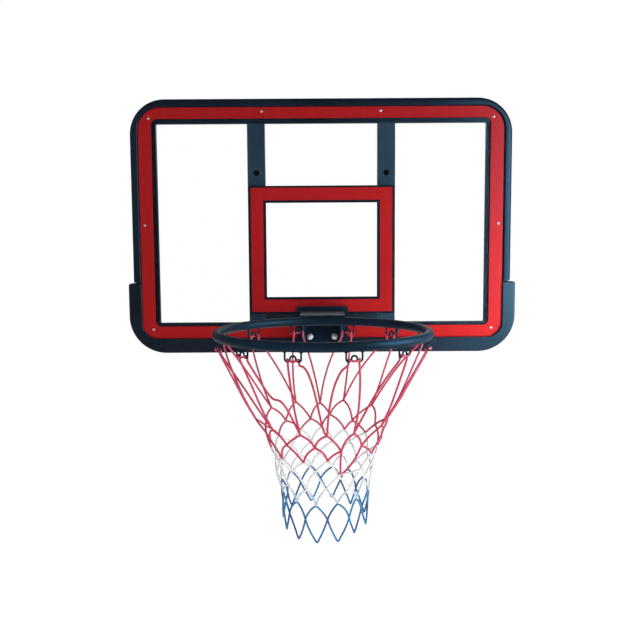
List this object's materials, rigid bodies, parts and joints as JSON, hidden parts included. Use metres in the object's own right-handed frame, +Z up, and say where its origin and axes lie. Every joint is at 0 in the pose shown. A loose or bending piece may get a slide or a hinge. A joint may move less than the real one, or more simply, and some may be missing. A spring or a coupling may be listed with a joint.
{
  "type": "basketball backboard",
  "caption": "Wall-hung basketball backboard with a clear panel in a black frame, red border and target, a braced ring with wire hooks and a hanging cord net.",
  "frame": {"origin": "centre of the mounting bolts, on the back face of the uprights", "axes": "+X to the right of a viewer in front of the board, +Y to the back, towards the wall, +Z up"},
  "size_m": [1.02, 0.688, 1.015],
  "materials": {
    "frame_plastic": "satin black moulding with a fine grain",
    "guard_plastic": "satin black moulding",
    "panel_clear": "clear and polished",
    "print_red": "printed, glossy",
    "print_dark": "printed, glossy",
    "steel_slate": "powder coated, dark slate",
    "ring_slate": "powder coated, near black",
    "bolt_bright": "bright plated",
    "bolt_black": "black oxide",
    "zinc": "zinc plated",
    "rubber_black": "matt",
    "cord_red": "braided cord",
    "cord_white": "braided cord",
    "cord_blue": "braided cord"
  },
  "bodies": {
    "board": {"frame": "frame_plastic", "panel": "panel_clear", "border_stripe": "print_red", "target_stripe": "print_red", "target_outline": "print_dark", "edge_guard": "guard_plastic", "upright_left": "steel_slate", "upright_right": "steel_slate", "cross_member": "steel_slate", "backing_pad": "rubber_black", "ring_gasket": "rubber_black", "ring_back_plate": "ring_slate", "ring_top_plate": "ring_slate", "ring_gusset_left": "ring_slate", "ring_gusset_right": "ring_slate", "ring": "ring_slate", "net_hooks": "ring_slate", "strut_left": "ring_slate", "strut_right": "ring_slate", "strut_bolts": "bolt_black", "strut_nuts": "zinc", "ring_bolts": "bolt_bright", "ring_washers": "zinc", "ring_nuts": "zinc", "panel_screws": "bolt_bright", "mount_bolts": "bolt_black"},
    "net_upper": {"net_red": "cord_red"},
    "net_lower": {"net_white": "cord_white", "net_blue": "cord_blue"}
  },
  "joints": [
    {"name": "net_swing", "type": "hinge", "parent": "board", "child": "net_upper", "pos_m": [0, -0.412, -0.2658], "axis": [1, 0, 0], "range_deg": [-18, 18], "deforming": ["net_red"]},
    {"name": "net_sway", "type": "hinge", "parent": "net_upper", "child": "net_lower", "pos_m": [0, -0.412, -0.522], "axis": [0, 1, 0], "range_deg": [-20, 20], "deforming": ["net_white", "net_blue"]}
  ]
}
